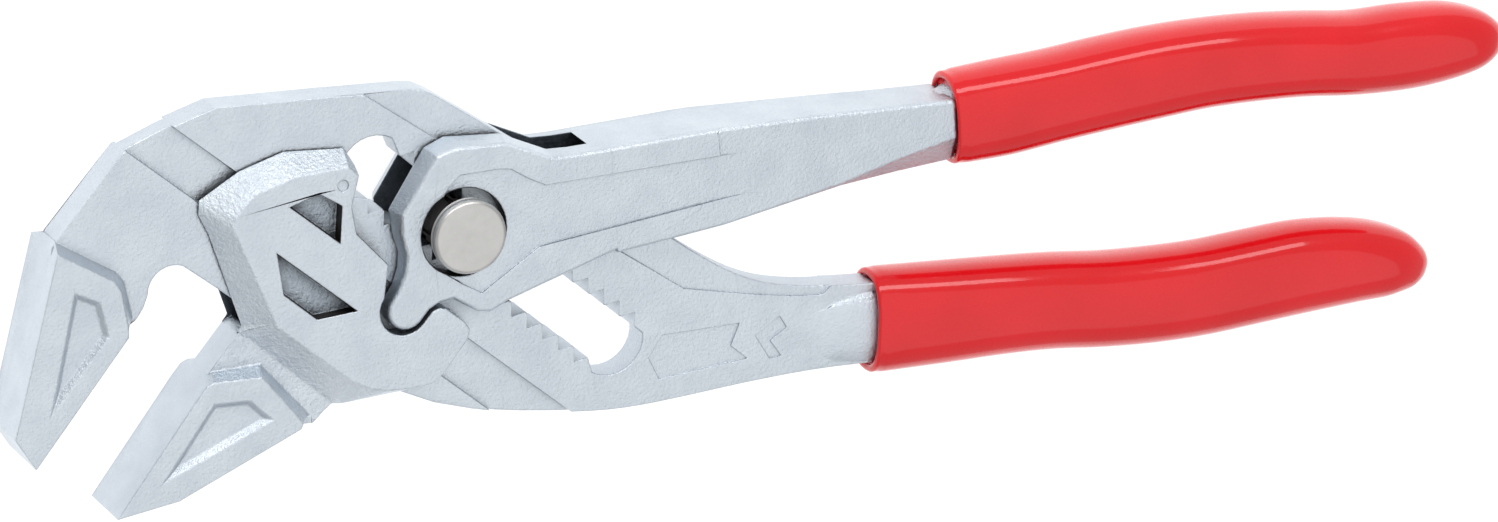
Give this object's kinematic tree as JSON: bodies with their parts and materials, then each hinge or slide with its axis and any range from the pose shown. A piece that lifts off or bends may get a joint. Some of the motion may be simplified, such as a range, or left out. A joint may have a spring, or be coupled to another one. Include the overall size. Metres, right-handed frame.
{
  "type": "tongue and groove pliers",
  "caption": "Push-button adjustable pliers with smooth parallel jaws, a toothed guide slot, a parallel sliding jaw and dipped red grips.",
  "frame": {"origin": "on the pivot axis, in the plane of the lever's rear cheek that the tool rests on", "axes": "+Z along the pivot axis, out of the push button's side; +X from the handles to the jaws; +Y completes the right-handed frame"},
  "size_m": [0.2536, 0.062, 0.0158],
  "materials": {
    "satin_chrome": "satin chrome plated chrome-vanadium steel, fine grained",
    "button_nickel": "satin nickel, slightly warm",
    "dark_steel": "blackened, oiled steel",
    "spring_steel": "bright drawn wire and strip",
    "red_vinyl": "glossy dip-coated vinyl"
  },
  "bodies": {
    "frame": {"fixed_leg": "satin_chrome", "fixed_grip": "red_vinyl"},
    "carriage": {"spring_seat": "dark_steel", "bolt_spring": "spring_steel"},
    "lever": {"lever_arm": "satin_chrome", "lever_grip": "red_vinyl", "retaining_ring": "spring_steel"},
    "slide_jaw": {"moving_jaw": "satin_chrome"},
    "bolt": {"pivot_bolt": "dark_steel", "push_button": "button_nickel"}
  },
  "joints": [
    {"name": "adjust_slide", "type": "slide", "parent": "frame", "child": "carriage", "axis": [0.757, -0.6534, 0], "range_m": [-0.0136, 0.0068]},
    {"name": "lever_hinge", "type": "hinge", "parent": "carriage", "child": "lever", "pos_m": [0, 0, 0.0064], "axis": [0, 0, 1], "range_deg": [-3.5, 22]},
    {"name": "jaw_slide", "type": "slide", "parent": "carriage", "child": "slide_jaw", "axis": [0.757, -0.6534, 0], "range_m": [-0.006, 0.0012]},
    {"name": "button_push", "type": "slide", "parent": "carriage", "child": "bolt", "axis": [0, 0, -1], "range_m": [0, 0.0016], "stiffness_N_per_m": 1500, "springref_m": -0.002, "deforming": ["bolt_spring"]}
  ],
  "couplings": [
    {"joint": "jaw_slide", "follows": "lever_hinge", "m_per_rad": -0.0147}
  ]
}
